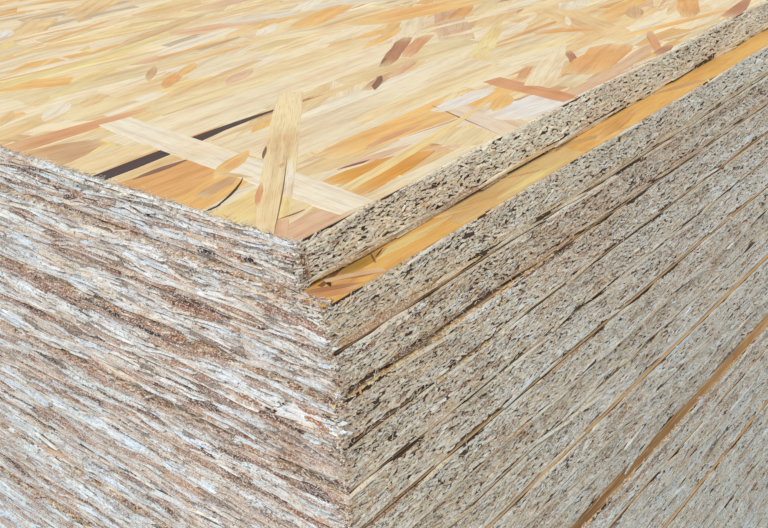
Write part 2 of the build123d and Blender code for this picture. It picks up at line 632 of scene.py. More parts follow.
# Name: widths, shifts, slant, crown, dive
shapePlans = {
    "plank": ((0.9, 1, 0.98, 1, 0.97, 0.86), (0.03, 0, -0.02, 0.01, 0.02, -0.02), 0.012),
    "torn": ((0.55, 0.95, 1, 0.92, 1, 0.6), (0.1, 0, 0.03, -0.03, 0, -0.1), -0.02),
    "lens": ((0.14, 0.72, 1, 0.98, 0.66, 0.12), (-0.1, 0, 0.02, 0, 0.03, 0.12)),
    "wedge": ((0.95, 1, 0.92, 0.76, 0.52, 0.2), (0, 0, 0.02, 0.05, 0.1, 0.16)),
    "plainPlank": ((0.88, 1, 0.97, 0.8), (0.02, 0, -0.02, 0.03), 0.015),
    "plainLens": ((0.25, 0.96, 0.92, 0.3), (-0.1, 0, 0.02, 0.1)),
    "plainWedge": ((0.94, 0.97, 0.78, 0.35), (0, 0, 0.04, 0.14), -0.015),
    "chip": ((0.35, 1, 0.94, 0.3), (-0.1, 0, 0.03, 0.12), 0, 0.75, 0.7),
    "crumb": ((0.85, 0.7), (0.08, -0.06), 0.1, 0.7, 1.0),
    "whisker": ((0.9, 0.35), (0, 0), 0, 0.8, 1.0),
    "ribbon": ((0.25, 0.85, 1, 0.95, 0.8, 0.2), (0, 0.05, 0, -0.05, 0, 0), 0, 0.75, 0.8),
}

shapes = {name: modelStrand(name, *plan) for name, plan in shapePlans.items()}
print("strand shapes modelled:", len(shapes))


def newBatch(shape, place, run, across, sizes, tints, **others):
    # Copies of one shape, with the directions of their length and width, and their sizes in mm
    return {
        "shape": shape,
        "place": place,
        "axes": np.stack([run, across, np.cross(run, across)], 1),
        "size": sizes * mm,
        "bend": np.zeros((len(place), 3)),
        "skew": np.zeros((len(place), 2)),
        "tint": tints,
        "uneven": 0.03,
        **others,
    }


def keepWithin(world, sheet, rim):
    # Holds points inside a sheet's outline, a little in from its edges
    off = world - sheet["corner"]
    u = np.clip(off @ sheet["along"], rim, boardSize[0] * mm - rim)
    v = np.clip(off @ sheet["into"], rim, boardSize[1] * mm - rim)
    inside = u[..., None] * sheet["along"] + v[..., None] * sheet["into"] + sheet["corner"]
    inside[..., 2] = world[..., 2]
    return inside


boxRoom = 0.03 * mm       # the strands end so far inside the frame's box
bakeCellLength = 6        # a strand's rectangle of the bake map is so many times as long as wide


def joinCopies(name, batches, material, seed):
    # One mesh out of many copies of closed shapes. A batch is one shape, with a row for each copy
    rng = np.random.default_rng(seed)
    lowEnd, highEnd = np.array(cadBox[0]) + boxRoom, np.array(cadBox[1]) - boxRoom
    count = sum(len(batch["place"]) for batch in batches)
    columns = math.ceil(math.sqrt(count / bakeCellLength))
    rows = math.ceil(count / columns)
    points, quads, tints, grains, bakes = [], [], [], [], []
    base = first = 0
    for batch in batches:
        shape = shapes[batch["shape"]]
        local, faces, cells = shape["points"], shape["quads"], shape["cells"]
        copies = len(batch["place"])
        x = local[:, 0]
        reach = local[None] * batch["size"][:, None]
        arch = 1 - 4 * x ** 2
        bend = batch["bend"]
        reach[..., 1] += bend[:, :1] * arch + bend[:, 2:] * np.sin(2 * math.pi * x)
        reach[..., 2] += bend[:, 1:2] * arch
        skew = batch["skew"]
        reach[..., 0] += ((x < -0.49) * skew[:, :1] + (x > 0.49) * skew[:, 1:]) * reach[..., 1]
        world = batch["place"][:, None] + np.einsum("nmk,nkj->nmj", reach, batch["axes"])
        if "within" in batch:
            world = keepWithin(world, *batch["within"])
        world = np.clip(world, lowEnd, highEnd)
        start = base + np.arange(copies)[:, None, None] * len(local)
        grain = np.stack([reach[..., 0], reach[..., 1] + reach[..., 2]], -1)
        grain = grain + rng.uniform(0, 9, (copies, 1, 2))
        index = first + np.arange(copies)
        corner = np.stack([index % columns / columns, index // columns / rows], -1)
        bake = corner[:, None, None] + cells[None] * (1 / columns, 1 / rows)
        points.append(world.reshape(-1, 3))
        quads.append((faces[None] + start).reshape(-1, 4))
        shade = batch["tint"][:, None]
        if "fade" in batch:    # toward the ends, into the tone underneath
            fade = batch["fade"][:, None, None] * np.abs(2 * x)[None, :, None] ** 3
            shade = shade * (1 - fade) + batch["under"] * fade
        shade = shade * rng.normal(1, batch["uneven"], (copies, len(local), 1))
        tints.append(shade.reshape(-1, 3))
        grains.append(grain[:, faces].reshape(-1, 2))
        bakes.append(bake.reshape(-1, 2))
        base += copies * len(local)
        first += copies
    points, quads = np.concatenate(points), np.concatenate(quads)
    mesh = bpy.data.meshes.new(name)
    mesh.from_pydata(points, [], quads)
    piece = bpy.data.objects.new(name, mesh)
    bpy.context.scene.collection.objects.link(piece)
    tint = mesh.attributes.new("tint", "FLOAT_COLOR", "POINT")
    colours = np.ones((len(points), 4), np.float32)
    colours[:, :3] = np.concatenate(tints)
    tint.data.foreach_set("color", colours.ravel())
    for mapName, spots in (("OFBake", bakes), ("grain", grains)):
        uv = mesh.uv_layers.new(name=mapName)
        uv.data.foreach_set("uv", np.concatenate(spots).astype(np.float32).ravel())
    mesh.materials.append(material)
    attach(piece, "root")
    print(name, count, "strands,", 2 * len(quads), "triangles")


def tintsOf(names):
    return np.array([linear(tones[name]) for name in names])


def shadeOf(stops, value, rng, jitter=0.04):
    # Linear tints along a list of colours, from dark to pale, with a little spread
    places = np.linspace(0, 1, len(stops))
    shades = np.array([linear(stop) for stop in stops])
    value = np.clip(value, 0, 1)
    mixed = np.stack([np.interp(value, places, shades[:, k]) for k in range(3)], -1)
    return mixed * rng.normal(1, jitter, (len(value), 1))


# Top face of the top sheet

topFace = {
    "recess": 0.45,          # how far the plain sheet lies under the strands' tops, mm
    "step": (58.0, 10.5),    # one strand for each such patch, mm
    "length": (118.0, 20.0),
    "width": (21.0, 9.0),
    "spread": 11.0,          # how far strands turn from the sheet's length, degrees
    "thickness": 0.34,
    "shares": {              # how many strands have each tone
        "cream": 0.28, "butter": 0.25, "straw": 0.12, "ivory": 0.07, "lemon": 0.09, "gold": 0.07,
        "rose": 0.04, "orange": 0.03, "tan": 0.02, "mist": 0.015, "rust": 0.01,
    },
    "fade": 0.55,            # how far the ends of a strand take the tone underneath
    "plainFade": 0.3,
    "odd": 0.1,              # share of strands that turn further
    "oddSpread": 38.0,
    "shortest": 25.0,
    "narrowest": 4.0,
    "widest": 40.0,
    "shapes": ["plainPlank", "plainPlank", "plainWedge", "plainLens"],
    "narrowTones": ("rust", "tan", "orange"),    # these strands are narrower
    "narrowShare": 0.6,
    "span": (0, 0, 2520, 1250),    # where strands begin and end, along and into the sheet
    "room": (0.12, 0.08),    # the strands' tops stay so far above the plain sheet and under the real face
    "inside": (0.05, 0.14),  # how far the strands at random stay inside this room
    "rise": (0.06, 0.10),    # the corner's own strands begin so far under its top, and rise by so much
}

# Narrow strands along the two long rims: from and to into the sheet, and step
rimRows = ((3, 6, 4), (1244, 1248, 5))
rimStrands = {
    "step": 44,
    "length": (70.0, 14.0),
    "width": (7.0, 2.0),
    "spread": 0.6,
    "shapes": ["plainPlank", "plainWedge"],
}

# Finer strands between those of the corner
cornerFill = {
    "span": (0, 4, 350, 400),
    "under": (0.16, 0.11),    # their depth under the top of the strands' room
    "step": (30.0, 11.0),
    "length": (84.0, 24.0),
    "width": (11.0, 5.0),
    "spread": 13.0,
    "shapes": ["plank", "torn", "lens", "wedge"],
}

# Strands seen near the corner, from the lowest to the one on top:
# ends along and into the sheet from the corner, width, tone, shape, bow across. All in mm
cornerStrands = {
    "farIvory": (24, 104, 170, 108, 30, "cream", "plank", 2),
    "farButter": (54, 127, 178, 124, 20, "butter", "plank", 0),
    "wideCream": (40, 60, 172, 59, 35, "cream", "plank", 0),
    "creamLip": (62, 72, 168, 73, 9, "ivory", "lens", 0),
    "creamLow": (84, 52, 168, 49, 12, "butter", "plank", 0),
    "goldLeft": (-4, 65, 30, 63, 27, "orange", "plank", 0),
    "strawLeft": (-4, 79.5, 31, 80, 6, "straw", "plank", 0),
    "umberLeft": (6, 76, 28, 74.5, 3.6, "umber", "lens", 0),
    "tanUnderDark": (44, 82.4, 131, 84, 4.4, "straw", "lens", 0),
    "darkTail": (66, 87.6, 120, 85, 3.0, "rust", "wedge", 0),
    "darkTail2": (34, 88.6, 84, 86.8, 5.0, "bark", "wedge", 0.8),
    "darkStrand": (1, 86.5, 62, 87.2, 7.6, "bark", "wedge", 0),
    "upperLeft": (-4, 121, 23, 113, 24, "tan", "wedge", 0),
    "strawUpper": (-4, 99, 30, 97, 13, "butter", "torn", 0),
    "clayLeft": (1, 137.5, 58, 131, 12, "clay", "wedge", 0),
    "tanFlake": (-4, 43, 27, 50, 14, "gold", "plank", 0),
    "flakeShade": (8, 45, 27.4, 50, 8, "tan", "wedge", 0),
    "lemonLeft": (-4, 25, 27, 29, 19, "lemon", "plank", 0),
    "lemonLeft2": (-4, 15, 26, 18, 9, "butter", "plank", 0),
    "roseCorner": (-4, 5, 20, 5, 11, "rose", "plank", 0),
    "strawMiddle": (36, 33, 78, 31, 11, "straw", "torn", 0),
    "goldLens": (52, 36, 114, 30, 16, "gold", "torn", 2),
    "clayInLens": (62, 31, 96, 30, 4, "clay", "lens", 1),
    "amberUpper": (34, 21, 65, 17, 8.4, "amber", "torn", 0),
    "roseRidge": (44, 27, 76, 20.5, 4.6, "rose", "lens", 0),
    "umberRidge": (46, 26.4, 61, 22, 1.8, "umber", "lens", 0),
    "amberLower": (32, 10, 82, 11.8, 9, "amber", "wedge", 0),
    "amberTip": (77, 14.2, 92, 14, 4, "rust", "lens", 0),
    "strawRight": (82, 9, 100, 13, 21, "butter", "torn", 0),
    "creamWedge": (32, 2.4, 90, 1.6, 6.6, "cream", "wedge", 0.6),
    "smallRose": (72, 14.6, 86, 5, 2.6, "rose", "lens", 0),
    "roseFlake": (104, -4, 120, 39, 17, "blush", "wedge", 0),
    "flakeEdge": (96.4, -4, 113, 40, 0.8, "umber", "lens", 0),
    "chalkPatch": (112, 12, 146, 6, 20, "chalk", "torn", 0),
    "chalkUpper": (108, 34, 140, 34, 9, "chalk", "torn", 0),
    "goldSmall": (118, 17.6, 139, 24.6, 8, "gold", "lens", -1),
    "clayRight": (143, -4, 151, 40, 11, "clay", "plank", 0),
    "rustDash": (155, 30, 175, 38, 4.0, "clay", "torn", 0),
    "creamUnderClay": (152, 20, 215, 44, 12, "cream", "wedge", 0),
    "mistDash": (169, 20, 184, 14, 5, "tan", "lens", 0),
    "rustSlant": (180, 18, 202, 36, 4.0, "rust", "torn", 0),
    "orangeWide": (174, 14, 222, 24, 19, "orange", "torn", 0),
    "rustLong": (214, 0, 248, 22, 4, "clay", "torn", 0),
    "barkCorner": (212, 1.5, 232, 3, 5, "rust", "lens", 0),
    "amberHook": (222, 64, 240, 44, 8, "orange", "torn", 3),
    "chalkDash": (241, 58, 258, 69, 3.2, "ivory", "lens", 0),
    "tanFar": (266, 38, 292, 51, 9, "tan", "lens", 0),
    "orangeFar": (282, 18, 328, 41, 11, "orange", "torn", 0),
    "rustFar": (288, 2, 334, 9, 8, "rust", "wedge", 0),
    "orangeRegion": (198, 152, 274, 132, 24, "gold", "torn", 0),
    "orangeRegion2": (206, 150, 262, 140, 9, "orange", "lens", 0),
    "lemonFar": (163, 117, 204, 126, 6, "gold", "lens", 0),
    "rustFlake": (147, 90, 190, 113, 7.4, "rust", "torn", 0),
    "barkInFlake": (147.5, 92, 157, 98, 2.4, "umber", "lens", 0),
    "clayFlake": (163, 91, 199, 107, 7.4, "clay", "torn", 1),
    "mistFlake": (116, 74, 144, 83, 6, "tan", "torn", 0),
    "mistFlake2": (118, 72, 136, 83, 4, "umber", "lens", 0),
    "roseDash": (135, 77, 160, 84.5, 4, "rose", "torn", 0),
    "strawLine": (98, 86.6, 148, 82, 3, "straw", "lens", 0),
    "orangeUpLeft": (2, 152, 36, 159, 10, "straw", "torn", 0),
    "rustSpot": (14, 165, 28, 178, 5, "straw", "lens", 0),
    "tanSpot": (36, 177, 48, 183, 4.4, "straw", "lens", 0),
    "chalkSpot": (26, 155, 48, 169, 9, "ivory", "lens", 0),
    "tanSpot2": (44, 157, 60, 164, 8, "straw", "lens", 0),
    "orangeStreak": (78, 149, 99, 163, 7, "orange", "lens", 0),
    "rustStreak": (82, 164, 100, 181, 4.4, "tan", "lens", 0),
    "goldSpot": (94, 158, 112, 168, 6, "gold", "lens", 0),
    "roseFar": (94, 130, 118, 138, 8, "rose", "lens", 0),
    "chalkFar": (112, 194, 166, 203, 12, "ivory", "torn", 0),
    "strawFar": (148, 190, 188, 201, 10, "straw", "lens", 0),
    "chalkFar2": (158, 177, 184, 190, 9, "ivory", "lens", 0),
    "orangeAfar": (178, 171, 232, 188, 16, "gold", "torn", 0),
    "ivoryAfar": (206, 198, 240, 214, 12, "ivory", "torn", 0),
    "orangeTop": (106, 292, 134, 318, 20, "straw", "torn", 0),
    "orangeTop2": (146, 304, 190, 334, 24, "straw", "torn", 0),
    "chalkTop": (90, 293, 110, 311, 10, "chalk", "lens", 0),
    "lemonTop": (80, 274, 96, 286, 9, "lemon", "lens", 0),
    "narrowLemon": (35, 13.4, 128, 25, 4.8, "lemon", "wedge", -1.2),
    "paleSteep": (26.2, -4, 40, 130, 15.4, "ivory", "plank", 0),
    "goldOnSteep": (20, 54.5, 44, 63, 7.4, "gold", "lens", 0),
    "clayOnSteep": (26, 56, 39, 61, 3.6, "orange", "lens", 0),
    "paleSlant": (-6, 4.6, 99, 98, 11.6, "butter", "plank", 0),
    "slantTrim": (21.2, 24.0, 45.2, 44.9, 3.6, "ivory", "wedge", 0),
    "slantTrim2": (8.8, 13.3, 21.2, 24.0, 3.8, "lemon", "plank", 0),
    "slantTrim3": (-1.8, 4.0, 8.8, 13.3, 4.0, "rose", "plank", 0),
    # Thin dark strands along a crease and along the slanted strand's upper edge: painted shade
    "slantCreaseShade": (0, 8, 46, 48, 0.5, "umber", "lens", -0.5),
    "rustBySlant": (11.5, 26.6, 26, 38.8, 2.2, "clay", "lens", 0),
    "shadeBySlant": (40.5, 53.6, 50, 61.4, 1.3, "umber", "lens", 0),
    "spotOnSlant": (37.4, 42.6, 42, 45.6, 1.5, "tan", "lens", 0),
    # Thin dark strands where the face is cracked: painted shade inside the cracks
    "crackShadeFlat": (-2, 36.6, 7, 36.4, 0.9, "holeShade", "lens", 0),
    "crackShadeLong": (4, 36.2, 26, 47, 0.9, "holeShade", "lens", -1.2),
    "crackShadeShort": (7.6, 14.7, 17.4, 13, 0.8, "umber", "lens", -0.3),
    "flapLeft": (27, 44, 24, 58, 3, "straw", "lens", 0),
}


def cutToSheet(start, end, length, width):
    # Cuts a strand's line at the sheet's outline. Gives the line and the skew of each cut end
    line = end - start
    shares, skews = [0.0, 1.0], [0.0, 0.0]
    unit = line / np.linalg.norm(line)
    side = np.array((-unit[1], unit[0]))
    for axis, limit in ((0, length), (1, width)):
        for edge, inner in ((0.0, 1), (limit, -1)):
            if abs(line[axis]) < 1e-9:
                continue
            crossing = (edge - start[axis]) / line[axis]
            entering = line[axis] * inner > 0
            skew = -side[axis] / unit[axis]
            if entering and crossing > shares[0]:
                shares[0], skews[0] = crossing, skew
            if not entering and crossing < shares[1]:
                shares[1], skews[1] = crossing, skew
    if shares[1] - shares[0] < 0.05:
        return None
    return start + line * shares[0], start + line * shares[1], np.clip(skews, -1.2, 1.2)


def strandBatches(sheet, rows, level, reach):
    # rows: start, end, width, tint, shape, bow, height, end tilt, side tilt. Lengths in mm on the face
    laid = {}
    for start, end, width, tint, shape, bow, high, tilt, lean in rows:
        cut = cutToSheet(np.array(start, float), np.array(end, float), *reach)
        if cut is None:
            continue
        first, last, skew = cut
        middle = (first + last) / 2
        run = last - first
        length = np.linalg.norm(run)
        flat = (sheet["along"] * run[0] + sheet["into"] * run[1]) / length
        direction = flat + np.array((0, 0, tilt / length))
        direction /= np.linalg.norm(direction)
        up = np.cross(direction, np.cross(upward, direction))
        across = np.cross(up, direction) + up * lean / width
        across /= np.linalg.norm(across)
        up = np.cross(direction, across)
        place = sheet["corner"] + (sheet["along"] * middle[0] + sheet["into"] * middle[1]) * mm
        place[2] = level + high * mm
        sizes = (length, width, topFace["thickness"])
        laid.setdefault(shape, []).append((place, (direction, across, up), sizes, (bow, 0, 0), skew, tint))
    made = []
    for shape in sorted(laid):
        place, axes, sizes, bend, skew, tint = (np.array(column) for column in zip(*laid[shape]))
        fade = topFace["plainFade" if shape.startswith("plain") else "fade"]
        fade = np.where((tint.mean(1) > 0.2) & (shape != "plank"), fade, 0.0)    # dark strands stay dark
        batch = newBatch(shape, place, axes[:, 0], axes[:, 1], sizes, tint, fade=fade, skew=skew)
        batch.update(axes=axes, bend=bend * mm, under=linear(tones["butter"]), within=(sheet, 0.05 * mm))
        made.append(batch)
    return made


def randomStrands(rng, span, look, heights):
    # span: where they begin, along the sheet and into it, and where they end
    step = look["step"]
    rows = []
    names, shares = list(topFace["shares"]), list(topFace["shares"].values())
    shares = np.array(shares) / sum(shares)
    for x in np.arange(span[0], span[2], step[0]):
        for y in np.arange(span[1], span[3], step[1]):
            middle = np.array((x, y)) + rng.uniform(-0.6, 0.6, 2) * step
            turn = look["spread"] if rng.random() > topFace["odd"] else topFace["oddSpread"]
            angle = math.radians(rng.normal(0, turn))
            length = max(topFace["shortest"], rng.normal(*look["length"]))
            width = float(np.clip(rng.normal(*look["width"]), topFace["narrowest"], topFace["widest"]))
            half = np.array((math.cos(angle), math.sin(angle))) * length / 2
            tone = rng.choice(names, p=shares)
            tint = linear(tones[tone]) * rng.normal(1, 0.035, 3).mean() * rng.normal(1, 0.04)
            shape = rng.choice(look["shapes"])
            if tone in topFace["narrowTones"]:
                width *= topFace["narrowShare"]
            high = rng.uniform(*heights)
            bow = rng.normal(0, length * 0.012)
            tilts = rng.normal(0, 0.025), rng.normal(0, 0.02)
            rows.append((middle - half, middle + half, width, tint, shape, bow, high, *tilts))
    return rows


def insideRows(rows, reach, margin=0.6):
    # Leaves out strands whose line runs off a long side, and keeps the rest within the outline
    kept = []
    for row in rows:
        start, end, width = row[:3]
        low, high = sorted((start[1], end[1]))
        if low > margin + width / 2 and high < reach[1] - margin - width / 2:
            kept.append(row)
        elif low > margin and high < reach[1] - margin:
            kept.append((start, end, 2 * min(low, reach[1] - high), *row[3:]))
    return kept


def layTop():
    rng = np.random.default_rng(11)
    reach = (boardSize[0] - 0.5, boardSize[1] - 0.5)
    thick, recess = topFace["thickness"], topFace["recess"]
    level = topCorner[2]
    lowest, highest = -recess - thick / 2 + topFace["room"][0], -thick / 2 - topFace["room"][1]
    heights = (lowest + topFace["inside"][0], highest - topFace["inside"][1])
    rows = insideRows(randomStrands(rng, topFace["span"], topFace, heights), reach)
    rims = []
    for begin, finish, step in rimRows:
        span = (0, begin, topFace["span"][2], finish)
        look = {**rimStrands, "step": (rimStrands["step"], step)}
        rims += randomStrands(rng, span, look, heights)
    rows += insideRows(rims, reach)
    joinCopies("top_strands", strandBatches(topSheet, rows, level, reach), pressedStrand, 1)
    heights = [highest - depth for depth in cornerFill["under"]]
    near = insideRows(randomStrands(rng, cornerFill["span"], cornerFill, heights), reach)
    count = len(cornerStrands)
    begin, rise = topFace["rise"]
    for place, (x0, y0, x1, y1, width, tone, shape, bow) in enumerate(cornerStrands.values()):
        high = highest - begin + rise * place / count    # each a little above the one before
        tint = linear(tones[tone]) * rng.normal(1, 0.02)
        tilts = rng.normal(0, 0.002), rng.normal(0, 0.002)
        near.append(((x0, y0), (x1, y1), width, tint, shape, bow, high, *tilts))
    joinCopies("corner_strands", strandBatches(topSheet, near, level, reach), pressedStrand, 2)


def topSheetBody():
    # The top sheet under its strands: the frame's sheet with its face a little lower
    body = nodes[topName].copy()
    body.data = body.data.copy()
    body.name = "top_sheet"
    body.parent = None
    for key in list(body.keys()):
        del body[key]
    bpy.context.scene.collection.objects.link(body)
    bpy.ops.object.select_all(action="DESELECT")
    body.select_set(True)
    bpy.context.view_layer.objects.active = body
    bpy.ops.object.mode_set(mode="EDIT")
    bpy.ops.mesh.select_all(action="SELECT")
    bpy.ops.mesh.remove_doubles(threshold=1e-6)
    bpy.ops.mesh.select_mode(type="VERT")
    mesh = bmesh.from_edit_mesh(body.data)
    pickParts(mesh.verts, lambda v: v.co.z > topCorner[2] - 1e-5, mesh, body)
    bpy.ops.transform.translate(value=(0, 0, -topFace["recess"] * mm))
    bpy.ops.object.mode_set(mode="OBJECT")
    body.data.materials.clear()
    body.data.materials.append(strandBoard)
    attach(body, "root")
    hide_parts(topName)


topSheetBody()
layTop()
print("top sheet laid")


stripTone = (0.95, 0.94, 0.85)    # the second sheet is deeper and more golden than the top

# Strip of the second sheet that the top one leaves open:
# ends (along the sheet, out from the top one), width, tone, shape. All in mm
stripStrands = {
    "stripGold": (-2, 6, 74, 5, 14, "gold", "plank"),
    "stripStraw": (62, 5, 152, 7, 14, "straw", "plank"),
    "stripGold2": (136, 6, 236, 5, 14, "gold", "plank"),
    "stripStraw2": (216, 6, 345, 6, 14, "gold", "plank"),
    "stripOrange": (2, 7, 26, 4, 6, "orange", "lens"),
    "stripRose": (-6, -1, 14, 10.5, 6, "clay", "torn"),
    "stripRust": (-3, -3, 17, 11.0, 3.0, "rust", "lens"),
    # Dark strands where the strip is cracked and holed under the top sheet's foot: painted shade
    "stripCrackShade": (8, 2.2, 19, 0.4, 1.8, "umber", "wedge"),
    "stripCrackShade2": (9.6, 4.6, 12, 1.4, 1.3, "bark", "lens"),
    "stripFront": (18, 10.4, 42, 10.2, 1.6, "orange", "lens"),
    "stripLemon": (24, 3.0, 66, 4.6, 4.0, "lemon", "lens"),
    "stripOlive": (13, 2.6, 37, 2.4, 4.6, "olive", "lens"),
    "stripRose2": (11, 1.4, 26, 10.2, 3.4, "rose", "torn"),
    "stripRoseLine": (11.5, 2.8, 24, 10.8, 0.7, "rust", "lens"),
    "stripCrackShade3": (27.6, 5.4, 31.6, 0.2, 0.7, "umber", "lens"),
    "stripCrackShade4": (30, 3.4, 36, 1.2, 0.5, "bark", "lens"),
    "stripTan": (60, -1, 92, 11.5, 3.5, "straw", "lens"),
    "stripPale": (84, 8.4, 136, 8.8, 3.4, "lemon", "lens"),
    "stripLine": (98, 0, 118, 9, 1.0, "tan", "lens"),
    "stripSlant": (130, -1, 170, 11.5, 2.6, "tan", "lens"),
    "stripAmber": (148, 8, 190, 4, 6, "orange", "lens"),
    "stripSlant2": (208, 0, 244, 11.5, 3, "tan", "lens"),
}


def layStrip():
    sheet = sheets[1]
    level = sheet["corner"][2] + sheet["height"]
    gap = (topSheet["corner"] - sheet["corner"]) @ sheet["into"] / mm
    rows = []
    for place, (x0, y0, x1, y1, width, tone, shape) in enumerate(stripStrands.values()):
        start, end = (x0, gap - y0), (x1, gap - y1)
        high = 0.03 + 0.014 * place - topFace["thickness"] / 2    # each above the one before
        rows.append((start, end, width, linear(tones[tone]) * stripTone, shape, 0, high, 0.0, 0.0))
    batches = strandBatches(sheet, rows, level, (2400, gap + 4))
    joinCopies("second_sheet_strands", batches, pressedStrand, 3)


layStrip()


# Sawn edges near the corner: the cut ends and sides of the strands, layer on layer

edgeLook = {
    "front": {
        "room": 0.86,              # height of one layer, mm
        "core": (1.3, 5.6),        # length of what shows of a strand in the sheet's core, mm
        "skin": (14.0, 52.0),      # and close to its two faces
        "skinHeight": (3.1, 1.3),  # how high those smooth bands are, at the foot and at the top
        "thickness": (0.85, 1.7),      # of a strand, in layers
        "missing": 0.028,              # share of strands that are torn out
        "bands": 0.08,                 # how much the tone drifts along and across the layers
        "odd": 0.05,                   # share of strands that are far darker
        "wave": (0.10, 40.0),          # height and length of the layers' waves, mm
        "twist": 11.0,                 # how far strands turn out of their layer, degrees
        "mood": {1: 0.42, 2: 0.10},    # sheets that are paler than the rest
        # How far a sheet's foot lies back, mm
        "recess": {1: 0.36, 2: 0.02, 3: 0.40, 4: 0.38, 5: 0.36, 6: 0.34},
        "proud": (0.02, 0.60),         # how far a strand stands out, mm
        "shapes": ["crumb", "crumb", "chip"],
        "skinTone": (1.0, 0.97, 0.90),
        "far": (0.85, 0.90, 1.0),      # cooler away from the corner
        "topFar": (0.88, 0.88, 0.87),  # the top sheet stays warm
        "fresh": {1: (1.08, 1.01, 0.87), 2: (1.03, 0.985, 0.88)},    # tints of single sheets
        "usual": (1.01, 0.99, 0.96),   # and of all others
        "darkFoot": {1: 0.08, 2: 0.22, 3: 0.22},    # how much darker a sheet's lowest band is
        "sharp": 0.0,                  # stronger light and dark near the corner
        "hue": 0.035,                  # how far the colours of single strands differ
        "stops": [                     # from dark to pale
            (124, 90, 60), (188, 150, 110), (217, 198, 162),
            (226, 218, 196), (234, 232, 218), (246, 247, 240),
        ],
    },
    "end": {
        "room": 0.80,
        "core": (4.0, 34.0),
        "skin": (9.0, 30.0),
        "skinHeight": (1.2, 0.9),
        "thickness": (1.0, 2.1),
        "missing": 0.02,
        "bands": 0.30,
        "odd": 0.09,
        "wave": (0.75, 62.0),
        "twist": 2.2,
        "mood": {},
        "recess": {1: 0.40, 3: 0.42},
        "proud": (0.02, 0.70),
        "shapes": ["ribbon", "ribbon", "chip", "crumb"],
        "skinTone": (1.0, 0.98, 0.95),
        "far": (0.95, 1.04, 1.12),
        "topFar": (0.95, 1.04, 1.12),
        "fresh": {},
        "usual": (1.0, 1.0, 1.0),
        "darkFoot": {1: 0.22, 2: 0.22, 3: 0.22},
        "sharp": 0.28,
        "hue": 0.05,
        "stops": [
            (120, 82, 64), (196, 152, 124), (224, 206, 188),
            (235, 231, 222), (240, 244, 242), (250, 254, 254),
        ],
    },
}

# Places that stand out near the corner: from, to, upper and lower depth under the top, in mm.
# A strand there is left out, or pale, or brown
edgeMarks = {
    "front": {
        "pit": [
            (34, 36.5, 18.5, 20.4), (63, 67.5, 18.8, 20.4), (139, 148, 25.2, 26.4), (79, 86, 57.5, 60),
            (52, 58, 92, 94.5), (25, 28, 5.5, 7.0), (59, 62, 4, 5.4), (97, 99, 5, 6.4),
            (120, 122, 20, 21.2), (36, 39, 34.5, 37), (14, 18, 51, 53.5), (100, 115, 103.4, 104.8),
            (66, 69, 76, 79), (20, 23, 66, 68.5),
        ],
        "brown": [(190, 200, 128.5, 131), (150, 380, 183, 186.5), (52, 74, 68, 69.5)],
        "tan": [(0, 60, 27.6, 30)],
        "pale": [(0, 40, 30.5, 33), (60, 100, 45.5, 48)],
    },
    "end": {
        "pit": [
            (18, 24, 9.8, 11.4), (36, 40, 11.8, 13.3), (62, 66, 5.8, 7.2), (118, 124, 27.3, 28.8),
            (80, 86, 46.8, 48.2), (0, 5, 48.6, 50.6), (52, 76, 108.2, 109.8), (14, 105, 14.5, 15.5),
            (92, 98, 19.5, 21), (128, 136, 40, 41.5), (30, 38, 70, 71.3), (10, 16, 100, 101.4),
            (104, 118, 86, 87.3), (140, 156, 60, 61.4), (-1, 12, 73, 75.4),
        ],
        "brown": [
            (88, 100, 6, 10), (45, 82, 31, 34), (27, 31, 10, 11.4), (23, 29, 55.8, 57.4),
            (56, 62, 54.8, 56.4), (42, 49, 86, 88), (59, 66, 85, 87), (40, 180, 45.4, 48.6),
            (97, 104, 74, 79.5), (117, 129, 74, 79), (118, 200, 152.6, 154.6), (20, 60, 60, 61.6),
            (0, 100, 92, 93.4), (8, 22, 21, 23), (60, 74, 66, 68),
        ],
        "tan": [(28, 175, 74.6, 78.8), (4, 26, 62, 70), (60, 130, 108, 111)],
        "pale": [
            (0, 70, 3, 5.4), (4, 120, 0.2, 1.6), (80, 170, 7, 9.4), (35, 80, 23, 26.2),
            (16, 120, 35.6, 38.2), (0, 150, 51, 55.6), (60, 140, 63.5, 66), (20, 90, 82, 84.5),
            (0, 60, 96, 99), (70, 160, 100, 104), (30, 110, 118, 121),
        ],
    },
}

# Torn places of the frame's sheets: sheet, side, from, to, height. All in mm
tornPlaces = [
    (1, "front", 3.0, 18.0, 1.5), (3, "front", 2.5, 21.5, 1.7), (3, "front", 36.0, 90.0, 1.4),
    (4, "front", 3.0, 41.0, 1.2), (4, "front", 50.0, 75.0, 1.2), (5, "end", 3.0, 27.0, 1.8),
    (5, "end", 46.0, 166.0, 1.2), (6, "front", 4.0, 40.0, 1.1), (6, "front", 52.0, 78.0, 1.3),
]

# Stretch of each edge that gets its strands one by one. It follows the picture's rims, so that it
# begins and ends further from the corner on lower sheets. All in mm
cutStretch = {
    "front": {
        "sheet": 7, "begin": 24, "step": 21.4, "margin": 46,
        "finish": 338, "growth": 4.3, "topFinish": 375,
    },
    "end": {"free": 110, "slope": 2.1, "margin": 50, "finish": 176, "growth": 0.4},
}


def visibleSpan(number, side):
    look = cutStretch[side]
    if side == "front":
        start = look["begin"] + look["step"] * (number - look["sheet"]) - look["margin"]
        end = look["topFinish"] if number == 1 else look["finish"] + look["growth"] * number
    else:
        depth = boardSize[2] * number
        start = (depth - look["free"]) * look["slope"] - look["margin"]
        end = look["finish"] + look["growth"] * depth
    return max(0.0, start), end


def warp(u, t, wave, phases):
    # Gentle waves that run through neighbouring layers together
    height, length = wave
    first = np.sin(2 * math.pi * u / length + phases[0] + t * 0.35)
    second = np.sin(2 * math.pi * u / (length * 0.43) + phases[1] - t * 0.5)
    return height * (first + 0.6 * second)


def markAt(side, u, depth):
    for kind, spots in edgeMarks[side].items():
        for low, high, upper, lower in spots:
            if low < u < high and upper < depth < lower:
                return kind
    return None


